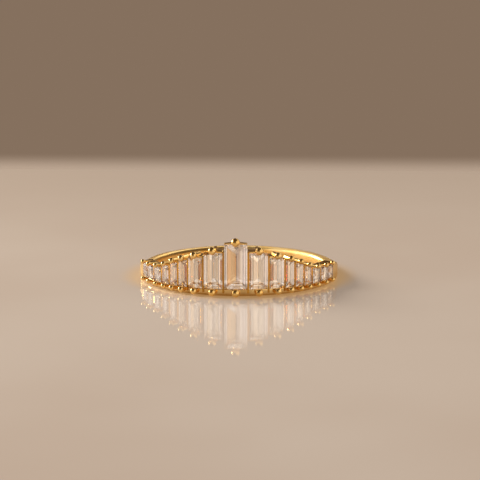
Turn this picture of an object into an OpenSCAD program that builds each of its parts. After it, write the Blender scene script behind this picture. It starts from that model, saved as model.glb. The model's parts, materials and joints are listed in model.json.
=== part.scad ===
// A tiara ring lying on its side: a row of upright baguette stones on the front of a thin gold band.
// The finger hole runs along +Z from the floor, its axis is the origin, and the stones face -Y.
// The row of lower prongs is level, and only the upper edge climbs to the peak over the centre stone.

/* [Finger hole] */
// Radius of the finger hole, 16.5 mm across inside
hole_r = 8.25; // [7.5:0.25:9.5]
// Chamfer round both rims of the finger hole
rim_chamfer = 0.14; // [0.05:0.01:0.2]

/* [Band] */
// Height of the band at the back, along the finger
band_h = 1.05; // [1:0.05:1.4]
// Thickness of the band at the back
back_t = 0.85; // [0.75:0.05:1]
// Thickness of the metal at the front, from the hole to the face between the stones
front_t = 1.2; // [1.15:0.05:1.4]
// Radius of the dome across the outside of the band
dome_r = 0.8; // [0.75:0.05:1.5]
// How far behind the hole's axis the sloping shoulders reach the band's own height
shoulder_back_y = 2; // [1:0.5:4]

/* [Head] */
// How far the inside of the head stands back from the finger hole
head_relief = 0.2; // [0.2:0.05:0.3]
// Metal between two stones, measured on the front
stone_gap = 0.16; // [0.12:0.01:0.25]
// Metal past the last stone on each side
end_margin = 0.2; // [0.1:0.05:0.5]
// Height of the seat's lip over the side stones
lip_h = 0.18; // [0.14:0.01:0.25]
// Height of the seat's lip over the centre stone's corners
centre_lip_h = 0.1; // [0.08:0.01:0.2]
// How much higher that lip is behind the centre stone's prong
centre_rise = 0.12; // [0.05:0.01:0.2]
// Thickness of the raised seat behind the centre stone's top
centre_seat_t = 0.5; // [0.4:0.05:0.9]

/* [Prongs] */
// Height of the lower row of prong balls
foot_z = 0.42; // [0.4:0.01:0.6]
// Free height between a prong's rod and the end of its stone
prong_gap = 0.04; // [0.04:0.01:0.1]
// Radius of a prong's rod, as a share of its ball's radius
rod_share = 0.6; // [0.4:0.05:0.65]
// Distance between the finger hole and the root of a prong's rod
rod_root = 0.3; // [0.3:0.05:0.6]

/* [Stone cut] */
// Clearance between a stone and its seat
seat_gap = 0.025; // [0.02:0.005:0.04]
// Thickness of the girdle
girdle_t = 0.05; // [0.03:0.01:0.08]
// Depth of the pavilion, as a share of the stone's half width
pavilion_share = 1; // [0.8:0.05:1]
// Height of the crown, as a share of the stone's half width
crown_share = 0.18; // [0.15:0.01:0.3]
// Distance from the girdle to the table's edge, as a share of the stone's half width
table_inset = 0.48; // [0.3:0.01:0.5]

/* [Hidden] */

// One row for each stone from the centre outwards, the same on the left and on the right:
// stone's width, height of its upper prong ball, radius of its prong balls
STONES = [
    [2.10, 5.08, 0.395],
    [1.74, 4.24, 0.365],
    [1.42, 3.70, 0.330],
    [0.92, 3.30, 0.290],
    [0.90, 2.92, 0.268],
    [0.88, 2.48, 0.246],
    [1.10, 2.14, 0.234],
    [1.22, 2.05, 0.224],
    [1.10, 2.00, 0.214]];
last = len(STONES) - 1;

gold = [0.87, 0.66, 0.30];
diamond = [0.93, 0.92, 0.95, 0.75];

// The outside of the band and the face of the head are one circle, a little forward of the hole's axis
outer_r = hole_r + (back_t + front_t) / 2;
shift = (front_t - back_t) / 2;
face_r = outer_r + shift;
head_r = hole_r + head_relief;

// The first step of a stone's crown ends at these shares of the crown's width and height. Its pavilion
// is a hip roof with a narrow keel, which starts at these shares of the stone's half width in from its
// sides and from its ends, or on a nearly square stone at a share of its half length
crown_step = [0.45, 0.6];
keel_across = 0.96;
keel_along = 1.05;
keel_along_most = 0.9;

// Windows behind the taller stones: metal left above and below, metal left over the band, least
// height, share of the stone's width, and how far behind the girdle they start
window_edge = 0.35;
window_over_band = 0.1;
window_least_h = 0.5;
window_share = 0.6;
window_back = 0.25;

// Small steps that keep two faces of the mount out of one plane
bar_drop = 0.02;
shoulder_inset = 0.03;
seat_root_h = 0.3;
centre_rod_inset = 0.05;

// Longer than any cut has to be
past = 1;
smooth = 180;
ball_fn = 48;

function width(i) = STONES[i][0];
function peak_z(i) = STONES[i][1];
function ball_r(i) = STONES[i][2];

// Angle of a stone from the front, stepping over half of each neighbour and the metal between them
function angle(i) = i == 0 ? 0
    : angle(i - 1) + arc(width(i - 1) / 2 + stone_gap + width(i) / 2);
function arc(l) = l / face_r * 180 / PI;

// Distance from the hole's axis to the face of the head at an angle
function girdle_r(a) = shift * cos(a) + sqrt(pow(outer_r, 2) - pow(shift * sin(a), 2));

function stone_low(i) = foot_z + rod_share * ball_r(i) + prong_gap;
function stone_high(i) = peak_z(i) - rod_share * ball_r(i) - prong_gap;
function seat_top(i) = stone_high(i) + (i == 0 ? centre_lip_h : lip_h);
function half_short(i) = min(width(i), stone_high(i) - stone_low(i)) / 2;
function keel_end(half, s) = min(keel_along * s, keel_along_most * half);
end_angle = angle(last) + arc(width(last) / 2 + end_margin);

// Turns its children to a stone's place: negative numbers are on the left, positive ones on the right
module at_stone(n) {
    rotate([0, 0, sign(n) * angle(abs(n))]) children();
}

// Outline of a stone across one of its sides, as [place along the side, distance from the axis].
// half is half of that side, s is half of the shorter side, and keel is how far in the keel starts
function cut_outline(half, s, keel, r) = let (
        right = [
            [half - keel, -girdle_t - pavilion_share * s],
            [half, -girdle_t],
            [half, 0],
            [half - crown_step[0] * table_inset * s, crown_step[1] * crown_share * s],
            [half - table_inset * s, crown_share * s]])
    [for (p = right) [p[0], r + p[1]], for (k = [len(right) - 1:-1:0]) [-right[k][0], r + right[k][1]]];

// Outline of the hollow that a stone sits in: its pavilion and girdle with clearance, open to the front
function seat_outline(half, s, keel, r) = let (
        right = [
            [half - keel + seat_gap, -girdle_t - pavilion_share * s - seat_gap],
            [half + seat_gap, -girdle_t - seat_gap],
            [half + seat_gap, front_t]])
    [for (p = right) [p[0], r + p[1]], for (k = [len(right) - 1:-1:0]) [-right[k][0], r + right[k][1]]];

// Crosses an outline along the finger with one across it, which mitres every facet at the corners
module crossed(across, along, w, z0, z1) {
    intersection() {
        translate([0, 0, z0])
            linear_extrude(z1 - z0) polygon([for (p = across) [p[0], -p[1]]]);
        translate([-w / 2, 0, (z0 + z1) / 2])
            rotate([90, 0, 90]) linear_extrude(w) polygon([for (p = along) [-p[1], p[0]]]);
    }
}

module cut_stone(n) {
    i = abs(n);
    w = width(i);
    h = stone_high(i) - stone_low(i);
    s = half_short(i);
    r = girdle_r(angle(i));
    color(diamond) at_stone(n)
        crossed(cut_outline(w / 2, s, keel_across * s, r), cut_outline(h / 2, s, keel_end(h / 2, s), r),
            w, stone_low(i), stone_high(i));
}

module seat_hollow(n) {
    i = abs(n);
    w = width(i);
    h = stone_high(i) - stone_low(i);
    s = half_short(i);
    r = girdle_r(angle(i));
    at_stone(n)
        crossed(seat_outline(w / 2, s, keel_across * s, r), seat_outline(h / 2, s, keel_end(h / 2, s), r),
            w + 2 * seat_gap, stone_low(i) - seat_gap, stone_high(i) + seat_gap);
}

// Opening behind a stone that lets light in from the finger's side
module window(n) {
    i = abs(n);
    z0 = max(stone_low(i) + window_edge, band_h + window_over_band);
    z1 = stone_high(i) - window_edge;
    if (z1 - z0 > window_least_h)
        at_stone(n) translate([-window_share * width(i) / 2, -girdle_r(angle(i)) + window_back, z0])
            cube([window_share * width(i), front_t + past, z1 - z0]);
}

// Everything within an angle of the front, on both sides, up to a height
module front_wedge(a, h) {
    reach = 2 * outer_r;
    linear_extrude(h) polygon([[0, 0], for (t = [-1:0.5:1]) reach * [sin(a * t), -cos(a * t)]]);
}

// Raised seat behind the top of a stone, as wide as the stone, above its outer neighbour's seat.
// A side seat is level up to the prong and then slopes down to the neighbour's seat, and the centre
// seat is a thin plate that rises from both corners to the prong
module raised_seat(n) {
    i = abs(n);
    side = n < 0 ? -1 : 1;
    half = width(i) / 2;
    z0 = seat_top(i + 1) - seat_root_h;
    root = i == 0 ? girdle_r(0) - centre_seat_t : hole_r;
    inner_z = seat_top(i);
    middle_z = seat_top(i) + (i == 0 ? centre_rise : 0);
    outer_z = i == 0 ? seat_top(i) : seat_top(i + 1);
    at_stone(n) translate([0, -root, 0]) rotate([90, 0, 0]) linear_extrude(face_r + past - root)
        polygon([[-half * side, z0], [half * side, z0], [half * side, outer_z], [0, middle_z],
            [-half * side, inner_z]]);
}

// Stepped head: each wedge carries the divider bars on the inner side of one pair of stones
module head() {
    difference() {
        intersection() {
            union() {
                for (i = [1:last - 1]) front_wedge(angle(i) - arc(width(i)) / 4, seat_top(i) - bar_drop);
                front_wedge(end_angle, seat_top(last));
                for (n = [1 - last:last - 1]) raised_seat(n);
            }
            translate([0, -shift, 0]) cylinder(r = outer_r, h = peak_z(0), $fn = smooth);
        }
        translate([0, 0, -past]) cylinder(r = head_r, h = peak_z(0) + 2 * past, $fn = smooth);
    }
}

// Cone that opens a rim of the finger hole, wide at the height z, above (up = 1) or below (up = -1)
module rim_cone(z, up) {
    deep = 2 * rim_chamfer;
    translate([0, 0, z + up * rim_chamfer]) mirror([0, 0, up > 0 ? 1 : 0])
        cylinder(r1 = hole_r + deep, r2 = hole_r, h = deep, $fn = smooth);
}

// Plain band, domed outside and flat inside, with its upper rim chamfered
module band() {
    difference() {
        translate([0, -shift, 0]) rotate_extrude($fn = smooth) intersection() {
            square([outer_r, band_h]);
            translate([outer_r - dome_r, band_h / 2]) circle(r = dome_r, $fn = 96);
        }
        rim_cone(band_h, 1);
    }
}

// Shoulders: the head's height slopes down to the band's height behind the middle of the ring
module shoulders() {
    head_y = -girdle_r(end_angle) * cos(end_angle);
    slope = atan((seat_top(last) - bar_drop - band_h) / (shoulder_back_y - head_y));
    difference() {
        translate([0, -shift, band_h / 2])
            cylinder(r = outer_r - shoulder_inset, h = peak_z(last), $fn = smooth);
        translate([0, 0, -past]) front_wedge(end_angle - arc(end_margin) / 2, peak_z(0));
        translate([0, shoulder_back_y, band_h]) rotate([-slope, 0, 0])
            translate([-2 * outer_r, -3 * outer_r, 0]) cube([4 * outer_r, 6 * outer_r, peak_z(0)]);
    }
}

// Ball prong at a stone: a round rod that runs outwards from the head and ends in a polished ball
module prong(n, z) {
    i = abs(n);
    ball = ball_r(i);
    reach = girdle_r(angle(i)) + ball;
    root = i == 0 ? girdle_r(0) - centre_seat_t + centre_rod_inset : hole_r + rod_root;
    at_stone(n) translate([0, -reach, z]) {
        sphere(r = ball, $fn = ball_fn);
        rotate([-90, 0, 0]) cylinder(r = rod_share * ball, h = reach - root, $fn = ball_fn / 2);
    }
}

// Cast gold mount: band, shoulders and stepped head with its seats and openings, and the ball prongs
module ring_mount() {
    color(gold) {
        difference() {
            union() {
                band();
                shoulders();
                head();
            }
            translate([0, 0, -past]) cylinder(r = hole_r, h = peak_z(0) + 2 * past, $fn = smooth);
            rim_cone(0, -1);
            for (n = [-last:last]) {
                seat_hollow(n);
                window(n);
            }
        }
        for (n = [-last:last]) {
            prong(n, peak_z(abs(n)));
            prong(n, foot_z);
        }
    }
}

ring_mount();
cut_stone(0);  // stone_centre
for (i = [1:last]) {
    cut_stone(-i);
    cut_stone(i);
}
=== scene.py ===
"""Looks of a tiara ring with upright baguette stones, lying on its side on a polished table.

The finger hole's axis is +Z through the origin, and the stones face -Y. A point at an angle from the
front lies at radius * (sin(angle), -cos(angle)), so left stones have negative angles. All lengths are
in metres. The stones stay the frame's own nodes, and their places are read from them. The mount is
built again here from the same sizes, with rounded edges and full balls.
"""

import json
import math

import bmesh
import bpy
import numpy as np
from bpy.props import FloatProperty, FloatVectorProperty, IntProperty, PointerProperty
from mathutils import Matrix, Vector


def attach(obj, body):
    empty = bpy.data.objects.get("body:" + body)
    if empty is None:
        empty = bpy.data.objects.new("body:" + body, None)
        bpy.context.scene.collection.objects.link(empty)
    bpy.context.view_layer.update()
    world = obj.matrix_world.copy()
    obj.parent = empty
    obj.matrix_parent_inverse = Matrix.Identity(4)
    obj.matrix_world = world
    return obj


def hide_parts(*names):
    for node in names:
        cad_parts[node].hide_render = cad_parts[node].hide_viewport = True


bl_info = {
    "name": "Baguette Tiara Ring",
    "version": (1, 0, 0),
    "blender": (4, 5, 0),
    "location": "3D View > Sidebar > Ring",
    "description": "Polished mount, ball prongs and stones of a tiara ring, with its table and light",
    "category": "Object",
}

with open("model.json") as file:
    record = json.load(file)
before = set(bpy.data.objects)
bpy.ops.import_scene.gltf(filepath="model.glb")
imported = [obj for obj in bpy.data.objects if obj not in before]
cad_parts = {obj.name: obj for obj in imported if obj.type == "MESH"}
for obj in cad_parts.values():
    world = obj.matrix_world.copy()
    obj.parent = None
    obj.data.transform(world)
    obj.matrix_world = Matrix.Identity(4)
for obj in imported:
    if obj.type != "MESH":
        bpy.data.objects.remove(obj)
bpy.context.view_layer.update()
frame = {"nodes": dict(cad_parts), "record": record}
HOLE = next(m for m in frame["record"]["mounts"] if m["name"] == "finger_hole")
MOUNT = "ring_mount"
MM = 0.001
# Decimal places of a metre to which two corners of a stone agree when they are one
CORNER_PLACES = 7
# How far the rail and the end bars run into the shoulders
END_OVERLAP = 0.1 * MM
# Openings behind the tall stones: their foot's height over the band, their distance from the stone's
# top, their least height, and their width as a share of the stone's
WINDOW_OVER_BAND, WINDOW_EDGE, WINDOW_LEAST = 0.1 * MM, 0.35 * MM, 0.5 * MM
WINDOW_SHARE = 0.6
# How far pieces overlap or stand back where they meet, so that no two faces lie in one plane
SEAM = 0.01 * MM


def length(name, description, default, low, high):
    """A size property in metres, whose default and range are given in millimetres."""
    return FloatProperty(name=name, description=description, default=default * MM, min=low * MM,
                         max=high * MM, precision=5, subtype="DISTANCE", unit="LENGTH")


def share(name, description, default, low=0.0, high=1.0):
    """A plain factor."""
    return FloatProperty(name=name, description=description, default=default, min=low, max=high,
                         subtype="FACTOR")


def colour(name, description, default):
    """A linear colour."""
    return FloatVectorProperty(name=name, description=description, default=default, size=3, min=0.0,
                               max=1.0, subtype="COLOR")


class RingMountSizes(bpy.types.PropertyGroup):
    """Sizes of the gold mount."""

    hole_radius: length("Finger hole", "Radius of the finger hole", HOLE["dims"]["r_mm"], 7.5, 9.5)
    band_height: length("Band height", "Height of the band at the back, along the finger", 1.05, 1, 1.4)
    back_thickness: length("Back thickness", "Thickness of the band at the back", 0.85, 0.75, 1)
    front_thickness: length("Front thickness", "From the finger hole to the face between the stones",
                            1.2, 1.15, 1.4)
    shoulder_back: length("Shoulder reach", "How far behind the hole's axis the shoulders end", 2, 1, 4)
    head_relief: length("Head relief", "How far the inside of the head stands back from the hole",
                        0.2, 0.2, 0.3)
    lip_height: length("Seat lip", "Height of the seat's lip over the side stones", 0.18, 0.14, 0.25)
    centre_lip: length("Centre lip", "Height of the lip over the centre stone's corners", 0.1, 0.08, 0.2)
    centre_rise: length("Centre rise", "Extra height of that lip behind the prong", 0.12, 0.05, 0.2)
    centre_plate: length("Centre plate", "Thickness of the seat behind the centre stone's top",
                         0.5, 0.4, 0.9)
    bar_cap: length("Bar cap", "How far the rounded bars stand out from the face", 0.01, 0, 0.08)
    seat_crown: length("Seat crown", "How much higher the side seats are at their back", 0.06, 0, 0.1)
    seat_depth: length("Seat depth", "How far the seats slope down behind the stones' ends",
                       0.35, 0.2, 0.4)
    edge_round: length("Edge rounding", "Radius left on the polished edges", 0.035, 0.01, 0.06)
    rail_round: length("Rail rounding", "Radius of the rail's lower outer edge", 0.3, 0.07, 0.4)
    shank_squareness: share("Shank squareness", "Exponent of the shank's outer dome", 2.6, 2.0, 6.0)
    bore_squareness: share("Bore squareness", "Exponent of the shank's inner dome", 3.0, 2.0, 9.0)


class RingProngSizes(bpy.types.PropertyGroup):
    """Sizes of the ball prongs."""

    ball_radii: FloatVectorProperty(
        name="Ball radii", description="Radius of the prong balls, from the centre stone outwards",
        size=9, min=0.1 * MM, max=0.6 * MM, precision=5, unit="LENGTH",
        default=[r * MM for r in (0.395, 0.365, 0.33, 0.29, 0.268, 0.246, 0.234, 0.224, 0.214)])
    foot_height: length("Lower row", "Height of the lower row of balls", 0.42, 0.4, 0.6)
    rod_share: share("Rod share", "Radius of a rod, as a share of its ball's radius", 0.6, 0.4, 0.65)
    rod_root: length("Rod root", "Distance between the finger hole and a rod's root", 0.3, 0.3, 0.6)
    gap: length("Prong gap", "Free height between a rod and the end of its stone", 0.04, 0.04, 0.1)


class RingStoneCut(bpy.types.PropertyGroup):
    """Proportions of the stones, which the mount's pockets follow."""

    seat_gap: length("Seat gap", "Clearance between a stone and its seat", 0.025, 0.02, 0.04)
    girdle: length("Girdle", "Thickness of the girdle", 0.05, 0.03, 0.08)
    pavilion_share: share("Pavilion", "Depth of the pavilion, over the stone's half width", 1, 0.8, 1)
    keel_across: share("Keel", "How far in the keel starts, over the stone's half width", 0.96, 0.9, 0.98)


class RingFinish(bpy.types.PropertyGroup):
    """Colours and polish of the gold, the stones and the table."""

    gold: colour("Gold", "Colour of the polished gold", (1.0, 0.72, 0.30))
    gold_deep: colour("Deep gold", "Colour where the polish is thinner", (0.97, 0.64, 0.21))
    # Painted shade: darker gold in the grooves between the stones, full in the recesses behind the face
    groove_shade_gold: colour("Groove gold", "Colour in the grooves between the stones", (0.56, 0.28, 0.04))
    # Painted shade: darker gold near the table, at the rail's foot
    foot_shade_gold: colour("Foot gold", "Colour of the gold near the table", (0.68, 0.46, 0.20))
    golden_light: colour("Golden light", "Light that the gold throws on the table near it",
                         (0.50, 0.30, 0.12))
    bore_roughness: share("Bore roughness", "Mean roughness of the finger side", 0.34)
    stone: colour("Stone", "Body colour of the stones", (1.0, 0.98, 0.96))
    # Painted reflections: amber streaks stand for reflected gold and rosy grey streaks for the reflected
    # room
    warm_reflection_streaks: colour("Warm streaks", "Amber streaks inside the stones", (0.98, 0.80, 0.58))
    grey_reflection_streaks: colour("Grey streaks", "Rosy grey streaks inside the stones", (0.74, 0.66, 0.64))
    # Painted shade on the triangles at the centre stone's ends, where the pavilion's hips look dark
    stone_end_shade: colour("Stone ends", "Tint of the triangles at the centre stone's ends",
                       (0.60, 0.54, 0.48))
    table: colour("Table", "Colour of the polished table", (0.36, 0.29, 0.235))
    table_vein: colour("Table veins", "Colour of the faint clouds in the table", (0.39, 0.325, 0.27))
    table_far: colour("Far table", "Colour of the table at its far edge", (0.31, 0.25, 0.20))
    table_glow: share("Table glow", "Light that the translucent table spreads by itself", 0.2)
    stone_boost: share("Stone boost", "Extra share of that glow that is seen through the stones", 0.9,
                       0.0, 3.0)
    table_roughness: share("Table roughness", "Mean roughness of the table", 0.02)
    backdrop: colour("Backdrop", "Colour behind the table", (0.235, 0.163, 0.112))
    room: colour("Room", "Colour of the bright room that the stones show", (0.47, 0.37, 0.30))


class RingStage(bpy.types.PropertyGroup):
    """Camera and light."""

    camera_distance: FloatProperty(name="Camera distance", description="From the ring's middle",
                                   default=0.233, min=0.1, max=1.0, subtype="DISTANCE", unit="LENGTH")
    camera_pitch: FloatProperty(name="Camera pitch", description="Height angle over the table",
                                default=math.radians(12.2), min=0.0, max=1.5, subtype="ANGLE",
                                unit="ROTATION")
    camera_turn: FloatProperty(name="Camera turn", description="Angle off the ring's front",
                               default=math.radians(1.85), min=-1.5, max=1.5, subtype="ANGLE",
                               unit="ROTATION")
    pixels_per_mm: FloatProperty(name="Scale", description="Pixels per millimetre at the ring's middle",
                                 default=10.6, min=1.0, max=50.0)
    middle_pixel: FloatVectorProperty(name="Middle", description="Pixel where the ring's middle shows",
                                      size=2, default=(239.1, 274.7))
    image_side: IntProperty(name="Image side", description="Side of the square image in pixels",
                            default=480, min=16)


def settings(name):
    """The scene's property group of that name."""
    return getattr(bpy.context.scene, name)


# Places

def turned(points, angle):
    """Turns points given as (across, outwards, up) to an angle from the front.

    Across is along the tangent to the right and outwards is away from the hole's axis, so
    x = across * cos(angle) + outwards * sin(angle) and y = across * sin(angle) - outwards * cos(angle).
    """
    across, outwards, up = np.moveaxis(points, -1, 0)
    sine, cosine = np.sin(angle), np.cos(angle)
    return np.stack([across * cosine + outwards * sine, across * sine - outwards * cosine, up], axis=-1)


def read_stones():
    """Angle, half width, lowest and highest point of each stone from left to right, and its rank.

    A stone's angle is that of the middle of its corners, and its half width is the farthest that a
    corner lies across it. The rank counts outwards from the centre stone.
    """
    rows = []
    for name, node in frame["nodes"].items():
        if not name.startswith("stone_"):
            continue
        corners = np.empty(len(node.data.vertices) * 3)
        node.data.vertices.foreach_get("co", corners)
        corners = corners.reshape(-1, 3)
        rank = 0 if name == "stone_centre" else int(name.rsplit("_", 1)[1])
        angle = 0.0 if rank == 0 else math.atan2(*mean_direction(corners))
        across = corners[:, 0] * math.cos(angle) + corners[:, 1] * math.sin(angle)
        rows.append((angle, across.max(), corners[:, 2].min(), corners[:, 2].max(), rank))
    table = np.array(sorted(rows))
    return {"angle": table[:, 0], "half": table[:, 1], "low": table[:, 2], "high": table[:, 3],
            "rank": table[:, 4].astype(int)}


def mean_direction(corners):
    """Sine and cosine parts of the direction in which the corners lie, seen from above."""
    different = np.unique(corners.round(CORNER_PLACES), axis=0)
    return different[:, 0].mean(), -different[:, 1].mean()


STONES = read_stones()


def face_radius(angle):
    """Distance from the hole's axis to the face of the head.

    The face is a circle a little forward of the axis, so the radius is
    shift * cos(angle) + sqrt(circle ** 2 - (shift * sin(angle)) ** 2).
    """
    circle, shift = face_circle()
    return shift * np.cos(angle) + np.sqrt(circle**2 - (shift * np.sin(angle)) ** 2)


def ball_radius():
    """Radius of each stone's prong balls, from left to right."""
    return np.array(settings("ring_prong_sizes").ball_radii)[STONES["rank"]]


def peak_height():
    """Height of each stone's upper ball: the stone's top, the free gap and the rod's radius."""
    p = settings("ring_prong_sizes")
    return STONES["high"] + p.gap + p.rod_share * ball_radius()


def seat_top():
    """Height of the lip over each stone."""
    m = settings("ring_mount_sizes")
    return STONES["high"] + np.where(STONES["rank"] == 0, m.centre_lip, m.lip_height)


def head_end():
    """Angle of the outer edge of the last stone's pocket."""
    outer = STONES["half"][-1] + settings("ring_stone_cut").seat_gap
    angle = STONES["angle"][-1]
    return angle + math.atan2(outer, face_radius(angle))


# Meshes

def rounded(corners, radius, steps=4):
    """Closed outlines with their corners rounded.

    corners has the shape (..., corners, 2). Each corner becomes the curve
    (1 - t)^2 * before + 2 * t * (1 - t) * corner + t^2 * after, where before and after lie one radius
    away along the two edges, or two fifths of a shorter edge.
    """
    tiny, part_of_edge = 1e-12, 0.4
    before, after = (np.roll(corners, shift, axis=-2) - corners for shift in (1, -1))
    reach = [side / np.maximum(size := np.linalg.norm(side, axis=-1, keepdims=True), tiny)
             * np.minimum(radius, part_of_edge * size) for side in (before, after)]
    t = np.linspace(0, 1, steps)[:, None]
    start, end = (corners[..., None, :] + r[..., None, :] for r in reach)
    curve = (1 - t) ** 2 * start + 2 * t * (1 - t) * corners[..., None, :] + t**2 * end
    return curve.reshape(*corners.shape[:-2], -1, 2)


def soft_ends(rings, inset):
    """Draws in the first and last outline of each solid, for a small chamfer round its ends.

    The first and last outline move towards their own middle by the inset over their mean radius.
    """
    rings = rings.copy()
    for end in (0, -1):
        outline = rings[..., end, :, :]
        middle = outline.mean(axis=-2, keepdims=True)
        reach = np.linalg.norm(outline - middle, axis=-1, keepdims=True).mean(axis=-2, keepdims=True)
        rings[..., end, :, :] = middle + (outline - middle) * (1 - inset / reach)
    return rings


def build(name, rings, material, sharp_degrees=35.0):
    """Makes one object of closed solids from outlines carried along paths.

    rings has the shape (solids, stations, points round the outline, 3). Each point is joined to the
    next one round its outline and to the same point of the next outline, and a flat face closes
    each end.
    """
    solids, stations, around, _ = rings.shape
    index = np.arange(solids * stations * around).reshape(solids, stations, around)
    here, there = index[:, :-1], index[:, 1:]
    sides = np.stack([here, np.roll(here, -1, 2), np.roll(there, -1, 2), there], axis=-1)
    ends = np.concatenate([index[:, 0, ::-1], index[:, -1]])
    mesh = bpy.data.meshes.new(name)
    mesh.from_pydata(rings.reshape(-1, 3).tolist(), [], sides.reshape(-1, 4).tolist() + ends.tolist())
    work = bmesh.new()
    work.from_mesh(mesh)
    bmesh.ops.recalc_face_normals(work, faces=work.faces)
    work.to_mesh(mesh)
    work.free()
    mesh.shade_smooth()
    mesh.set_sharp_from_angle(angle=math.radians(sharp_degrees))
    mesh.materials.append(material)
    mesh.validate()
    piece = bpy.data.objects.new(name, mesh)
    bpy.context.scene.collection.objects.link(piece)
    return piece


def gold_piece(name, rings, material, **options):
    """A piece of the gold mount: it rides on the root body and stands for the mount's node."""
    piece = build(name, rings, material, **options)
    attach(piece, "root")
    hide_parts(MOUNT)
    return piece


# Node trees and light

# Places of the colour sockets among all the sockets of a Mix node
COLOUR_A, COLOUR_B, COLOUR_RESULT = 6, 7, 2
# Kinds of ray that each panel is open or closed to
RAYS = ("diffuse", "glossy", "transmission")


class Tree:
    """Short hand for building a node tree."""

    def __init__(self, nodes, links):
        self.nodes = nodes
        self.links = links

    def node(self, kind, inputs=None, **attributes):
        """Adds a node, sets its attributes, and sets or links its inputs."""
        made = self.nodes.new(kind)
        for key, value in attributes.items():
            setattr(made, key, value)
        for key, value in (inputs or {}).items():
            if isinstance(value, bpy.types.NodeSocket):
                self.links.new(value, made.inputs[key])
            else:
                made.inputs[key].default_value = value
        return made

    def math(self, operation, *values):
        """Adds a Math node and gives its output."""
        return self.node("ShaderNodeMath", dict(enumerate(values)), operation=operation).outputs[0]

    def place(self):
        """The object's own coordinates."""
        return self.node("ShaderNodeTexCoord").outputs["Object"]

    def axes(self, vector):
        """The X, Y and Z of a vector."""
        return self.node("ShaderNodeSeparateXYZ", {0: vector}).outputs

    def stretch(self, value, low, high, start=0.0, stop=1.0, kind="LINEAR"):
        """Maps the range from low to high onto start to stop, and stays at these beyond it."""
        return self.node("ShaderNodeMapRange", {
            "Value": value, "From Min": low, "From Max": high, "To Min": start, "To Max": stop},
            interpolation_type=kind).outputs["Result"]


def noise_group():
    """The polish group: slow clouds, a fine grain and faint hairlines over an object's own coordinates.

    Clouds are a noise of the given size. Roughness is the mean plus the spread times the grain and
    the clouds. Height is the grain pressed flat along Z, for the marks of a polishing wheel. Streaks
    and More Streaks are two sets of the grain drawn out along Z.
    """
    group = bpy.data.node_groups.new("fine_polish", "ShaderNodeTree")
    for name, default in (("Cloud Size", 0.002), ("Grain Size", 0.0002), ("Roughness", 0.1),
                          ("Spread", 0.05)):
        socket = group.interface.new_socket(name=name, in_out="INPUT", socket_type="NodeSocketFloat")
        socket.default_value = default
    for name in ("Clouds", "Roughness", "Height", "Streaks", "More Streaks"):
        group.interface.new_socket(name=name, in_out="OUTPUT", socket_type="NodeSocketFloat")
    t = Tree(group.nodes, group.links)
    given = t.node("NodeGroupInput").outputs
    place = t.place()
    flat, tall = 14.0, 0.04
    cloud_scale = t.math("DIVIDE", 1.0, given["Cloud Size"])
    grain_scale = t.math("DIVIDE", 1.0, given["Grain Size"])
    wheel = t.node("ShaderNodeMapping", {"Vector": place, "Scale": (1.0, 1.0, flat)}).outputs[0]
    drawn = t.node("ShaderNodeMapping", {"Vector": place, "Scale": (1.0, 1.0, tall)}).outputs[0]
    clouds, grain, lines, streaks = (
        t.node("ShaderNodeTexNoise", {"Vector": vector, "Scale": scale, "Detail": detail,
                                      "Roughness": roughness}).outputs
        for vector, scale, detail, roughness in (
            (place, cloud_scale, 3.0, 0.55), (place, grain_scale, 2.0, 0.5),
            (wheel, grain_scale, 1.0, 0.4), (drawn, grain_scale, 2.0, 0.6)))
    both = t.math("MULTIPLY", grain["Fac"], clouds["Fac"])
    split = t.node("ShaderNodeSeparateColor", {0: streaks["Color"]}).outputs
    out = t.node("NodeGroupOutput").inputs
    for name, value in (
            ("Clouds", clouds["Fac"]), ("Height", lines["Fac"]), ("Streaks", split["Red"]),
            ("More Streaks", split["Green"]),
            ("Roughness", t.math("MULTIPLY_ADD", both, given["Spread"], given["Roughness"]))):
        t.links.new(value, out[name])
    return group


def new_material(name):
    """An empty material with its tree and output node."""
    material = bpy.data.materials.new(name)
    material.use_nodes = True
    material.node_tree.nodes.clear()
    tree = Tree(material.node_tree.nodes, material.node_tree.links)
    return material, tree, tree.node("ShaderNodeOutputMaterial")


def polish(tree, **values):
    """Places the polish group in a tree with this material's own values."""
    group = bpy.data.node_groups.get("fine_polish") or noise_group()
    return tree.node("ShaderNodeGroup", {k.replace("_", " "): v for k, v in values.items()},
                     node_tree=group).outputs


def blend(tree, factor, first, second, **how):
    """Colour between two others, by a factor of 0 to 1.

    Either colour is three numbers or another node's output.
    """
    first, second = (tone if isinstance(tone, bpy.types.NodeSocket) else (*tone, 1.0)
                     for tone in (first, second))
    mixed = tree.node("ShaderNodeMix", {0: factor, COLOUR_A: first, COLOUR_B: second},
                      data_type="RGBA", **how)
    return mixed.outputs[COLOUR_RESULT]


def two_tones(tree, factor, first, second, low=0.35, high=0.65):
    """Colour that goes softly from the first to the second as the factor goes from low to high."""
    return blend(tree, tree.stretch(factor, low, high, kind="SMOOTHSTEP"), first, second)


def face_circle():
    """Radius of the circle of the head's face, and how far it lies in front of the hole's axis."""
    m = settings("ring_mount_sizes")
    return m.hole_radius + (m.back_thickness + m.front_thickness) / 2, (
        m.front_thickness - m.back_thickness) / 2


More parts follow.
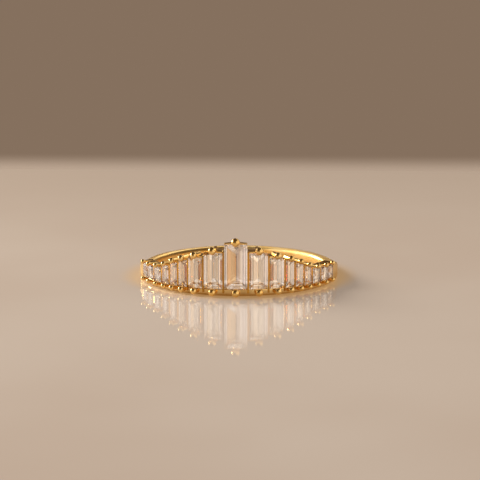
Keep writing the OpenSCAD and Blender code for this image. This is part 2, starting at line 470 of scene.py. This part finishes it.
def gold_material(name, roughness, bump, deep=None, foot_shade_from=None):
    """Polished yellow gold: two close tones in slow clouds, and faint wheel marks.

    Where a deep colour is given, it is painted shade. The gold takes it on from the given height down to
    the table, as painted shade near the table, or without a height on the face between the stones, as
    painted shade in the grooves, where it is gone at the first of two depths behind the face and full at
    the second.
    """
    f = settings("ring_finish")
    material, tree, output = new_material(name)
    marks = polish(tree, Cloud_Size=0.0016, Grain_Size=0.00012, Roughness=roughness, Spread=0.1)
    bumped = tree.node("ShaderNodeBump", {"Height": marks["Height"], "Strength": bump,
                                          "Distance": 0.004 * MM})
    tone = two_tones(tree, marks["Clouds"], f.gold_deep, f.gold)
    if deep is not None and foot_shade_from is not None:
        # Painted shade near the table, from the given height down
        tone = two_tones(tree, tree.axes(tree.place())["Z"], deep, tone, 0.0, foot_shade_from)
    elif deep is not None:
        # Painted shade in the grooves: gone at the first depth behind the face, full at the second
        behind_face = 0.07 * MM, 0.03 * MM
        circle, forward = face_circle()
        level = tree.node("ShaderNodeMapping", {"Vector": tree.place(), "Location": (0.0, forward, 0.0),
                                                "Scale": (1.0, 1.0, 0.0)})
        outwards = tree.node("ShaderNodeVectorMath", {0: level.outputs[0]}, operation="LENGTH")
        tone = two_tones(tree, outwards.outputs["Value"], tone, deep,
                         *(circle - depth for depth in behind_face))
    shader = tree.node("ShaderNodeBsdfPrincipled", {
        "Base Color": tone, "Metallic": 1.0, "Roughness": marks["Roughness"],
        "Normal": bumped.outputs[0]})
    tree.links.new(shader.outputs[0], output.inputs["Surface"])
    return material


def place_across(tree):
    """Place across each stone, from 0 at its left edge to 1 at its right, and the centre stone's mask.

    The angle from the front goes through a curve that rises by one step from the middle of each gap
    to the next, and the place is what is left after whole steps. The mask is 1 where the curve is
    within half a step of its middle.
    """
    count = len(STONES["rank"])
    reach = np.arctan2(STONES["half"], face_radius(STONES["angle"]))
    left, right = STONES["angle"] - reach, STONES["angle"] + reach
    seams = np.concatenate([left[:1], (right[:-1] + left[1:]) / 2, right[-1:]])
    xyz = tree.axes(tree.place())
    angle = tree.math("ARCTAN2", xyz["X"], tree.math("MULTIPLY", xyz["Y"], -1.0))
    along = tree.stretch(angle, float(seams[0]), float(seams[-1]))
    curve = tree.node("ShaderNodeFloatCurve", {"Value": along})
    line = curve.mapping.curves[0].points
    for step, x in enumerate((seams[1:-1] - seams[0]) / (seams[-1] - seams[0]), start=1):
        line.new(float(x), step / count)
    for point in line:
        point.handle_type = "VECTOR"
    curve.mapping.update()
    steps = tree.math("MULTIPLY", curve.outputs[0], float(count))
    return tree.math("FRACT", steps), tree.math("COMPARE", steps, count / 2, 0.5)


# Painted reflections on the upright steps of the cut: where a step starts across the stone, how dark the
# painted shade line there is, and the step's painted reflection tint
CENTRE_STEP_REFLECTIONS = (
    (0.00, 0.0, (1.0, 1.0, 1.0)),
    (0.08, 0.9, (1.0, 0.95, 0.96)),
    (0.17, 0.4, (0.88, 0.42, 0.13)),
    (0.33, 0.0, (0.62, 0.31, 0.09)),
    (0.53, 0.8, (0.56, 0.44, 0.37)),
    (0.69, 0.0, (0.94, 0.84, 0.76)),
    (0.79, 0.8, (0.72, 0.62, 0.62)),
    (0.90, 0.8, (1.0, 0.96, 0.98)),
)
SIDE_STEP_REFLECTIONS = (
    (0.00, 0.0, (1.0, 1.0, 1.0)),
    (0.10, 0.7, (1.0, 0.95, 0.93)),
    (0.22, 0.8, (0.98, 0.82, 0.60)),
    (0.48, 0.5, (0.56, 0.50, 0.42)),
    (0.78, 0.8, (1.0, 0.95, 0.96)),
    (0.90, 0.7, (1.0, 0.98, 1.0)),
)
# Half the width of a painted shade line, as a share of the stone's width
LINE = 0.03


def painted_step_reflections(tree, place, rows):
    """Tint of the upright steps of the cut, from the place across a stone.

    Each step keeps its own painted reflection tint, and a flat dark line of painted shade lies over the
    start of every step but the first.
    """
    stops = [(0.0, rows[0][2])]
    for (_, _, before), (start, dark, after) in zip(rows, rows[1:]):
        line = [tone * (1 - dark) for tone in after]
        stops += [(start - LINE, before), (start - LINE / 2, line), (start + LINE / 2, line),
                  (start + LINE, after)]
    ramp_node = tree.node("ShaderNodeValToRGB", {0: place})
    ramp = ramp_node.color_ramp
    for position, tint in stops[1:]:
        ramp.elements.new(position).color = (*tint, 1.0)
    ramp.elements[0].color = (*stops[0][1], 1.0)
    ramp.elements[-1].color = (*stops[-1][1], 1.0)
    return ramp_node.outputs["Color"]


def between_hips(tree):
    """Share from 0 to 1 of the centre stone's tall middle, between the triangles at its two ends.

    It is 1 where the height over the foot, or under the top if that is less, is more than the slope
    times the distance to the nearer side, past a soft edge.
    """
    slope, soft_edge = 0.7, 0.12 * MM
    middle = len(STONES["rank"]) // 2
    low, high, half = (float(STONES[key][middle]) for key in ("low", "high", "half"))
    xyz = tree.axes(tree.place())
    nearer = tree.math("MINIMUM", tree.math("SUBTRACT", xyz["Z"], low),
                       tree.math("SUBTRACT", high, xyz["Z"]))
    reach = tree.math("MULTIPLY_ADD", tree.math("ABSOLUTE", xyz["X"]), slope, nearer)
    return tree.stretch(reach, slope * half, slope * half + soft_edge)


def stone_material():
    """Clear stone of high refraction, with flat polished facets and upright warm streaks.

    The painted reflection streaks, and the painted reflections and dark painted shade lines of the cut's
    steps, tint the light where it is seen to enter the stone, and the centre stone's end triangles take a
    painted shade. The inside of the surface, where it leaves, is untinted.
    """
    f = settings("ring_finish")
    material, tree, output = new_material("diamond_facets")
    marks = polish(tree, Cloud_Size=0.0011, Grain_Size=0.0005, Roughness=0.0, Spread=0.012)
    # Painted reflection streaks of gold and room, multiplied with the steps' painted reflections below
    warm = two_tones(tree, marks["Streaks"], f.stone, f.warm_reflection_streaks, low=0.46, high=0.6)
    tone = two_tones(tree, marks["More Streaks"], warm, f.grey_reflection_streaks, low=0.5, high=0.66)
    place, centre = place_across(tree)
    # Painted shade on the triangles at the centre stone's two ends
    middle = blend(tree, between_hips(tree), f.stone_end_shade, painted_step_reflections(tree, place, CENTRE_STEP_REFLECTIONS))
    steps = blend(tree, centre, painted_step_reflections(tree, place, SIDE_STEP_REFLECTIONS), middle)
    outside = blend(tree, 1.0, tone, steps, blend_type="MULTIPLY")
    inside = tree.node("ShaderNodeNewGeometry").outputs["Backfacing"]
    shader = tree.node("ShaderNodeBsdfPrincipled", {
        "Base Color": blend(tree, inside, outside, (1.0, 1.0, 1.0)),
        "Roughness": marks["Roughness"], "IOR": 2.42, "Transmission Weight": 1.0})
    tree.links.new(shader.outputs[0], output.inputs["Surface"])
    return material


def table_material(fade_from, fade_to):
    """Polished pale table with faint clouds, which darkens backwards and fades out at its far edge.

    It also glows a little, as translucent stone does. The glow is golden near the ring's rail, and
    looks brighter through the stones.
    """
    f = settings("ring_finish")
    golden_to, plain_from = 9.4 * MM, 11.6 * MM
    material, tree, output = new_material("table_polish")
    marks = polish(tree, Cloud_Size=0.06, Grain_Size=0.004, Roughness=f.table_roughness, Spread=0.03)
    place = tree.place()
    depth = tree.axes(place)["Y"]
    fade = tree.stretch(depth, fade_from, fade_to, 1.0, 0.0, kind="SMOOTHSTEP")
    near = two_tones(tree, marks["Clouds"], f.table, f.table_vein)
    tone = two_tones(tree, depth, near, f.table_far, 0.0, fade_to)
    radius = tree.node("ShaderNodeVectorMath", {0: place}, operation="LENGTH").outputs["Value"]
    thrown = two_tones(tree, radius, f.golden_light, tone, golden_to, plain_from)
    strength = f.table_glow / f.table[0]
    through_stone = tree.node("ShaderNodeLightPath").outputs["Is Transmission Ray"]
    glow = tree.math("MULTIPLY_ADD", through_stone, strength * f.stone_boost, strength)
    shader = tree.node("ShaderNodeBsdfPrincipled", {
        "Base Color": tone, "Emission Color": thrown, "Emission Strength": glow,
        "Roughness": marks["Roughness"], "Alpha": fade})
    tree.links.new(shader.outputs[0], output.inputs["Surface"])
    return material


# Operators

class RING_OT_band(bpy.types.Operator):
    """Builds the plain band and its shoulders, from one end of the head round the back to the other."""

    bl_idname = "ring.band"
    bl_label = "Band and Shoulders"

    def execute(self, context):
        """Carries a superellipse round the hole.

        At each angle the outline is |x / a|^n + |z / h|^n = 1 about the middle of the wall, where
        a is half the wall's thickness and h half its height. At the back the outside is a dome and
        the finger's side a flatter one, and n rises on both sides to a flat face at the head. The
        height rises from the band's own to the head's along y.
        """
        m = settings("ring_mount_sizes")
        f = settings("ring_finish")
        end = head_end()
        stations, around = 361, 72
        rise_power, outer_flat, inner_flat = 1.25, 8.0, 9.0
        angle = np.linspace(end, 2 * math.pi - end, stations)[:, None]
        outer = face_radius(angle)
        y = -outer * np.cos(angle)
        rise = np.clip((m.shoulder_back - y) / (m.shoulder_back - y[0]), 0, 1) ** rise_power
        height = m.band_height + (seat_top()[-1] - m.band_height) * rise
        round_out = np.linspace(0, 2 * math.pi, around + 1)[:-1]
        outwards, upwards = np.cos(round_out), np.sin(round_out)
        outer_power = m.shank_squareness + (outer_flat - m.shank_squareness) * rise
        inner_power = m.bore_squareness + (inner_flat - m.bore_squareness) * rise
        power = np.where(outwards < 0, inner_power, outer_power)
        radius = (m.hole_radius + outer) / 2 + (outer - m.hole_radius) / 2 * (
            np.sign(outwards) * np.abs(outwards) ** (2 / power))
        z = height / 2 * (1 + np.sign(upwards) * np.abs(upwards) ** (2 / power))
        section = np.stack([np.zeros_like(radius), radius, z], axis=-1)
        gold_piece("band", turned(section, angle)[None],
                   gold_material("gold_band", f.bore_roughness, bump=0.25), sharp_degrees=50.0)
        return {"FINISHED"}


class RING_OT_rail(bpy.types.Operator):
    """Builds the lower rail of the head, whose slope carries the stones' lower ends."""

    bl_idname = "ring.rail"
    bl_label = "Lower Rail"

    def execute(self, context):
        """Carries an outline of eight rounded corners round the front.

        The face is as high as the stones' lower ends. Behind them the seat slopes up at 45 degrees
        to the foot of the windows, and the inner ring is as high as the band.
        """
        m = settings("ring_mount_sizes")
        cut = settings("ring_stone_cut")
        end = head_end() + END_OVERLAP / m.hole_radius
        stations, inset = 241, 0.004 * MM
        angle = np.linspace(-end, end, stations)
        face = face_radius(angle) - inset
        lip = np.interp(angle, STONES["angle"], STONES["low"]) - cut.seat_gap
        back = face - cut.girdle - cut.seat_gap
        foot = np.full_like(angle, m.band_height + WINDOW_OVER_BAND)
        hole, head = (np.full_like(angle, r) for r in (m.hole_radius, m.hole_radius + m.head_relief))
        floor, band = np.zeros_like(angle), np.full_like(angle, m.band_height)
        corners = np.stack([
            np.stack(pair, axis=-1) for pair in (
                (hole, floor), (face, floor), (face, lip), (back, lip), (back - (foot - lip), foot),
                (head, foot), (head, band), (hole, band))], axis=1)
        radius = np.full((len(corners[0]), 1), 2 * m.edge_round)
        radius[1] = m.rail_round
        outline = rounded(corners, radius, steps=8)
        section = np.concatenate([np.zeros_like(outline[..., :1]), outline], axis=-1)
        # The rail's gold darkens below 1 mm towards the table, a painted shade
        gold = gold_material("gold_rail", roughness=0.10, bump=0.2,
                             deep=settings("ring_finish").foot_shade_gold, foot_shade_from=1.0 * MM)
        gold_piece("lower_rail", turned(section, angle[:, None])[None], gold)
        return {"FINISHED"}


class RING_OT_seats(bpy.types.Operator):
    """Builds the upper seat of each stone, with its lip and the slope behind the stone's upper end."""

    bl_idname = "ring.seats"
    bl_label = "Upper Seats"

    def execute(self, context):
        """Carries an outline of six rounded corners across each stone.

        A side seat is level from its inner end to its prong, and then falls to its outer neighbour's
        height. Its top rises a little inwards. The centre seat is a thin plate that rises from both
        ends to the prong.
        """
        m = settings("ring_mount_sizes")
        cut = settings("ring_stone_cut")
        angle, half, high, rank = (STONES[k][:, None] for k in ("angle", "half", "high", "rank"))
        top = seat_top()
        outer = np.where(STONES["angle"] < 0, np.roll(top, 1), np.roll(top, -1))
        outer[[0, -1]] = top[[0, -1]]
        top, outer = top[:, None], outer[:, None]
        inset, stations = m.edge_round, 17
        place = np.concatenate([[-1.0], np.linspace(-1, 1, stations), [1.0]])[None] * half
        place[:, 1] += inset
        place[:, -2] -= inset
        outwards = np.clip(np.where(angle < 0, -1, 1) * place / half, 0, 1)
        height = top + (outer - top) * outwards
        height = np.where(rank == 0, top + m.centre_rise * (1 - np.abs(place) / half), height)
        girdle = face_radius(angle)
        face = np.sqrt(girdle**2 - place**2)
        root = np.sqrt((m.hole_radius + m.head_relief) ** 2 - place**2)
        root = np.where(rank == 0, girdle - m.centre_plate, root)
        lip = high + cut.seat_gap + 0 * place
        back = girdle - cut.girdle - cut.seat_gap + 0 * place
        crest = height + np.where(rank == 0, 0.0, m.seat_crown)
        corners = np.stack([
            np.stack(pair, axis=-1) for pair in (
                (root, crest), (face, height), (face, lip), (back, lip),
                (back - m.seat_depth, lip - m.seat_depth), (root, lip - m.seat_depth))], axis=2)
        outline = rounded(corners, m.edge_round, steps=4)
        across = np.broadcast_to(place[..., None, None], outline[..., :1].shape)
        section = np.concatenate([across, outline], axis=-1)
        rings = soft_ends(turned(section, angle[..., None]), inset)
        gold = gold_material("gold_seats", roughness=0.09, bump=0.2)
        side = STONES["rank"] > 0
        gold_piece("seat_centre", rings[~side], gold)
        gold_piece("seats_left", rings[STONES["angle"] < 0], gold)
        gold_piece("seats_right", rings[STONES["angle"] > 0], gold)
        return {"FINISHED"}


class RING_OT_bars(bpy.types.Operator):
    """Builds the bars between the stones, which widen inwards to follow the stones' pavilions."""

    bl_idname = "ring.bars"
    bl_label = "Divider Bars"

    def execute(self, context):
        """Carries an outline of rounded corners upwards for each bar.

        One half of a bar's outline follows the pocket of the stone on its left and the other half the
        pocket of the stone on its right. Behind a tall stone the bar leaves a window, and behind a
        short one it closes the wall. The bars at the ends of the row run into the shoulders.
        """
        m = settings("ring_mount_sizes")
        foot, drop = 0.3 * MM, 0.02 * MM
        before = self.pocket_side(1)
        after = self.pocket_side(-1)
        end = head_end() + END_OVERLAP / m.hole_radius
        ends = np.linspace(face_radius(end) - SEAM, m.hole_radius + m.head_relief, before.shape[1])
        end_wall = turned(np.stack([0 * ends, ends, 0 * ends], axis=-1), end)[None, :, :2]
        before = np.concatenate([end_wall * (-1, 1), before])
        after = np.concatenate([after, end_wall])
        outline = rounded(np.concatenate([before, after[:, ::-1]], axis=1), m.edge_round, steps=4)
        top = seat_top()
        height = np.concatenate([top[:1], np.minimum(top[:-1], top[1:]), top[-1:]]) - drop
        inset = m.edge_round
        low = np.full_like(height, foot)
        levels = np.stack([low, low + inset, height - inset, height], axis=1)
        z = np.broadcast_to(levels[..., None, None], (*levels.shape, outline.shape[1], 1))
        flat = np.broadcast_to(outline[:, None], (len(outline), levels.shape[1], *outline.shape[1:]))
        rings = soft_ends(np.concatenate([flat, z], axis=-1), inset)
        # The bars' gold darkens to the groove colour behind the face, a painted shade in the recesses
        gold_piece("divider_bars", rings,
                   gold_material("gold_bars", roughness=0.10, bump=0.2,
                                 deep=settings("ring_finish").groove_shade_gold))
        return {"FINISHED"}

    def pocket_side(self, side):
        """Corners of one side of each stone's pocket, seen from above, from the face inwards.

        They are the two corners of the cap that covers the seam, the face, the back of the girdle,
        the point where the pavilion's slope meets either the window's edge or the keel, and the
        inner wall of the head.
        """
        m = settings("ring_mount_sizes")
        cut = settings("ring_stone_cut")
        angle, half = STONES["angle"], STONES["half"]
        short = np.minimum(half, (STONES["high"] - STONES["low"]) / 2)
        gap = cut.seat_gap
        girdle = face_radius(angle)
        edge = half + gap
        deep = girdle - cut.girdle - gap
        head = m.hole_radius + m.head_relief
        open_height = STONES["high"] - WINDOW_EDGE - (m.band_height + WINDOW_OVER_BAND)
        window = open_height > WINDOW_LEAST
        slope_x = np.where(window, WINDOW_SHARE * half, edge - cut.keel_across * short)
        slope_y = deep - (edge - slope_x) * cut.pavilion_share / cut.keel_across
        wall_x = np.where(window, WINDOW_SHARE * half, -SEAM)
        wall_y = np.sqrt(head**2 - wall_x**2)
        front_y = np.sqrt(girdle**2 - edge**2)
        cap_back, cap_front = girdle + SEAM / 2, girdle + m.bar_cap
        corners = np.stack([
            np.stack([side * x, y, 0 * x], axis=-1) for x, y in (
                (half, cap_front), (half, cap_back), (edge, np.minimum(front_y, cap_back)),
                (edge, deep), (slope_x, slope_y), (wall_x, wall_y))], axis=1)
        return turned(corners, angle[:, None])[..., :2]


class RING_OT_prongs(bpy.types.Operator):
    """Builds the two ball prongs of each stone."""

    bl_idname = "ring.prongs"
    bl_label = "Ball Prongs"

    def execute(self, context):
        """Turns one profile about each prong's axis, which runs inwards from the ball.

        The profile is the ball's arc, a fillet, the rod and a chamfer at its root. The fillet is the
        curve (1 - t)^2 * a + 2 * t * (1 - t) * corner + t^2 * b.
        """
        p = settings("ring_prong_sizes")
        ball = ball_radius()
        gold = gold_material("gold_prongs", roughness=0.055, bump=0.1)
        for name, height in (("prongs_upper", peak_height()), ("prongs_lower", p.foot_height + 0 * ball)):
            gold_piece(name, self.rings(ball, height, p), gold)
        return {"FINISHED"}

    def rings(self, ball, height, p):
        """Outlines of all prongs of a row, as (prongs, stations, points, 3).

        The centre stone's rods reach a little into its plate. Lengths along the profile are shares
        of the ball's radius, and its arc starts just beside the pole, where a small face closes it.
        """
        m = settings("ring_mount_sizes")
        sink, fillet, around = 0.05 * MM, 0.3, 40
        arc_start, arc_end, arc_steps, fillet_steps = 2.0, 136.0, 30, 7
        reach = face_radius(STONES["angle"]) + ball
        root = np.where(STONES["rank"] == 0, reach - ball - m.centre_plate + sink,
                        m.hole_radius + p.rod_root)
        rod = p.rod_share
        arc = np.radians(np.linspace(arc_start, arc_end, arc_steps))
        along, away = np.cos(arc), np.sin(arc)
        corner = -math.sqrt(1 - rod**2)
        stop = corner - fillet
        t = np.linspace(0, 1, fillet_steps)[1:]
        along = np.concatenate([along, (1 - t) ** 2 * along[-1] + 2 * t * (1 - t) * corner + t**2 * stop])
        away = np.concatenate([away, (1 - t) ** 2 * away[-1] + 2 * t * (1 - t) * rod + t**2 * rod])
        outwards = reach[:, None] + ball[:, None] * along
        radius = ball[:, None] * away
        chamfer = m.edge_round
        outwards = np.concatenate([outwards, root[:, None] + chamfer, root[:, None]], axis=1)
        last = rod * ball[:, None]
        radius = np.concatenate([radius, last, last - chamfer], axis=1)
        turn = np.linspace(0, 2 * math.pi, around + 1)[:-1]
        points = np.stack([
            radius[..., None] * np.cos(turn),
            np.broadcast_to(outwards[..., None], (*outwards.shape, len(turn))),
            height[:, None, None] + radius[..., None] * np.sin(turn)], axis=-1)
        return turned(points, STONES["angle"][:, None, None])


class RING_OT_stones(bpy.types.Operator):
    """Gives the stones, which are the frame's own nodes, their clear facets."""

    bl_idname = "ring.stones"
    bl_label = "Stones"

    def execute(self, context):
        """Sets one material on every stone's node."""
        material = stone_material()
        for name, node in frame["nodes"].items():
            if name != MOUNT:
                node.data.materials.clear()
                node.data.materials.append(material)
        return {"FINISHED"}


class RING_OT_stage(bpy.types.Operator):
    """Sets the table, the backdrop, the soft lights, the camera and how often light is thrown back."""

    bl_idname = "ring.stage"
    bl_label = "Table, Light and Camera"

    def execute(self, context):
        """Calls one method for each part of the stage."""
        self.table()
        self.backdrop()
        self.lights()
        self.camera()
        self.bounces()
        return {"FINISHED"}

    def table(self):
        """A flat table just under the ring, whose far edge is where the photo's backdrop starts."""
        side, far_edge, fade, below = 1.5, 0.070, 0.014, 0.00001
        mesh = bpy.data.meshes.new("table")
        mesh.from_pydata([(-side, -side, -below), (side, -side, -below), (side, far_edge, -below),
                          (-side, far_edge, -below)], [], [(0, 1, 2, 3)])
        mesh.materials.append(table_material(far_edge - fade, far_edge))
        table = bpy.data.objects.new("table", mesh)
        bpy.context.scene.collection.objects.link(table)

    def backdrop(self):
        """A plain surrounding that is taupe at the horizon and darker overhead.

        Its strength falls from 1 to the overhead share as the direction's Z rises from the first
        height to the second. Through the stones it is a bright room instead, at full strength.
        """
        first, second, overhead = 0.12, 0.45, 0.4
        f = settings("ring_finish")
        world = bpy.data.worlds.new("backdrop")
        world.use_nodes = True
        world.node_tree.nodes.clear()
        tree = Tree(world.node_tree.nodes, world.node_tree.links)
        direction = tree.node("ShaderNodeTexCoord").outputs["Generated"]
        shade = tree.stretch(tree.axes(direction)["Z"], first, second, 1.0, overhead)
        through_stone = tree.node("ShaderNodeLightPath").outputs["Is Transmission Ray"]
        strength = tree.math("MAXIMUM", through_stone, shade)
        seen = blend(tree, through_stone, f.backdrop, f.room)
        light = tree.node("ShaderNodeBackground", {"Color": seen, "Strength": strength})
        output = tree.node("ShaderNodeOutputWorld")
        tree.links.new(light.outputs[0], output.inputs["Surface"])
        bpy.context.scene.world = world

    def lights(self):
        """Soft panels that face the ring, all at the same distance.

        Each row gives the panel's name, its azimuth from the right, counted towards the back, its
        height angle, its width and height as angles, its radiance, its tint, and the kinds of ray
        that meet it: diffuse for matt surfaces, glossy for polished ones and transmission for what
        is seen through the stones. A name that starts with band, gold or warm lights only the band,
        only the gold, or all but the band, and any other name lights all. All angles are in degrees.
        The power is the radiance times pi times the panel's area.
        """
        distance = 0.5
        rows = (
            ("key", 156, 27, 32, 30, 18.0, (1.0, 0.96, 0.90), ("diffuse",)),
            ("window", 160, 19, 64, 44, 1.5, (1.0, 0.97, 0.95), ("diffuse", "glossy")),
            ("gold_spark", 147, 15, 15, 15, 21.0, (1.0, 0.98, 0.98), ("glossy",)),
            ("warm_wall", -16, 22, 110, 62, 0.8, (1.0, 0.88, 0.76), ("diffuse", "glossy")),
            ("back_glow", 62, 36, 40, 16, 1.5, (1.0, 0.93, 0.82), ("diffuse", "glossy")),
            ("stone_fill", -90, 58, 130, 70, 0.6, (1.0, 0.92, 0.86), ("transmission",)),
            ("mirror_fill", -90, 9, 110, 20, 0.7, (1.0, 0.98, 0.97), ("transmission",)),
            ("band_side", 205, 14, 62, 52, 1.3, (1.0, 0.98, 1.0), ("glossy",)),
            ("band_top", 125, 58, 90, 56, 0.7, (1.0, 0.95, 0.90), ("glossy",)),
        )
        lit = {}
        pieces = [o for o in bpy.data.objects if o.type == "MESH" and o.data.materials]
        for receivers, chosen in (
                ("band", [o for o in pieces if o.name == "band"]),
                ("gold", [o for o in pieces if o.data.materials[0].name.startswith("gold")]),
                ("warm", [o for o in pieces if o.name != "band"])):
            lit[receivers] = bpy.data.collections.new(receivers + "_light")
            for piece in chosen:
                lit[receivers].objects.link(piece)
        for name, azimuth, rise, width, height, radiance, tint, rays in rows:
            azimuth, rise = math.radians(azimuth), math.radians(rise)
            towards = Vector((math.cos(azimuth) * math.cos(rise), math.sin(azimuth) * math.cos(rise),
                              math.sin(rise)))
            data = bpy.data.lights.new(name, "AREA")
            data.shape = "RECTANGLE"
            data.size, data.size_y = (2 * distance * math.tan(math.radians(a / 2))
                                      for a in (width, height))
            data.energy = radiance * math.pi * data.size * data.size_y
            data.color = tint
            lamp = bpy.data.objects.new(name, data)
            lamp.location = towards * distance
            lamp.rotation_euler = (-towards).to_track_quat("-Z", "Y").to_euler()
            lamp.light_linking.receiver_collection = lit.get(name.split("_")[0])
            for ray in RAYS:
                setattr(lamp, "visible_" + ray, ray in rays)
            bpy.context.scene.collection.objects.link(lamp)

    def camera(self):
        """Puts the camera where the photo was taken from.

        It looks at the ring's middle from the given distance, pitch and turn, and the shift moves
        that middle to its pixel. The lens follows from the scale at the middle.
        """
        s = settings("ring_stage")
        data = bpy.data.cameras.new("camera")
        data.sensor_width = 36.0
        focal_pixels = s.pixels_per_mm / MM * s.camera_distance
        data.lens = focal_pixels * data.sensor_width / s.image_side
        data.clip_start, data.clip_end = 0.01, 10.0
        middle = s.image_side / 2
        data.shift_x = (middle - s.middle_pixel[0]) / s.image_side
        data.shift_y = (s.middle_pixel[1] - middle) / s.image_side
        back = Vector((math.sin(s.camera_turn) * math.cos(s.camera_pitch),
                       -math.cos(s.camera_turn) * math.cos(s.camera_pitch), math.sin(s.camera_pitch)))
        camera = bpy.data.objects.new("camera", data)
        camera.location = back * s.camera_distance
        camera.rotation_euler = (-back).to_track_quat("-Z", "Y").to_euler()
        bpy.context.scene.collection.objects.link(camera)
        bpy.context.scene.camera = camera
        bpy.context.scene.view_settings.view_transform = "Standard"

    def bounces(self):
        """Lets light be thrown back often inside the stones, where reflections count as glossy."""
        often = 32
        limits = bpy.context.scene.cycles
        limits.max_bounces = limits.transmission_bounces = limits.glossy_bounces = often


class RING_PT_panel(bpy.types.Panel):
    """Lists the ring's sizes, finishes and build steps."""

    bl_idname = "RING_PT_panel"
    bl_label = "Tiara Ring"
    bl_space_type = "VIEW_3D"
    bl_region_type = "UI"
    bl_category = "Ring"

    def draw(self, context):
        """Draws each property group, then one button for each step."""
        for name in GROUPS:
            group = getattr(context.scene, name)
            box = self.layout.box()
            box.label(text=name.replace("_", " ").title())
            for key in group.bl_rna.properties.keys():
                if key not in ("rna_type", "name"):
                    box.prop(group, key)
        for step in STEPS:
            self.layout.operator(step.bl_idname)


GROUPS = {
    "ring_mount_sizes": RingMountSizes,
    "ring_prong_sizes": RingProngSizes,
    "ring_stone_cut": RingStoneCut,
    "ring_finish": RingFinish,
    "ring_stage": RingStage,
}
STEPS = (RING_OT_band, RING_OT_rail, RING_OT_seats, RING_OT_bars, RING_OT_prongs, RING_OT_stones,
         RING_OT_stage)


def register():
    """Registers the classes and gives the scene its property groups."""
    for cls in (*GROUPS.values(), *STEPS, RING_PT_panel):
        bpy.utils.register_class(cls)
    for name, group in GROUPS.items():
        setattr(bpy.types.Scene, name, PointerProperty(type=group))


def unregister():
    """Takes the property groups and the classes away again."""
    for name in GROUPS:
        delattr(bpy.types.Scene, name)
    for cls in (RING_PT_panel, *reversed(STEPS), *reversed(GROUPS.values())):
        bpy.utils.unregister_class(cls)


def main():
    register()
    for step in STEPS:
        area, name = step.bl_idname.split(".")
        getattr(getattr(bpy.ops, area), name)()


if __name__ == "__main__":
    main()
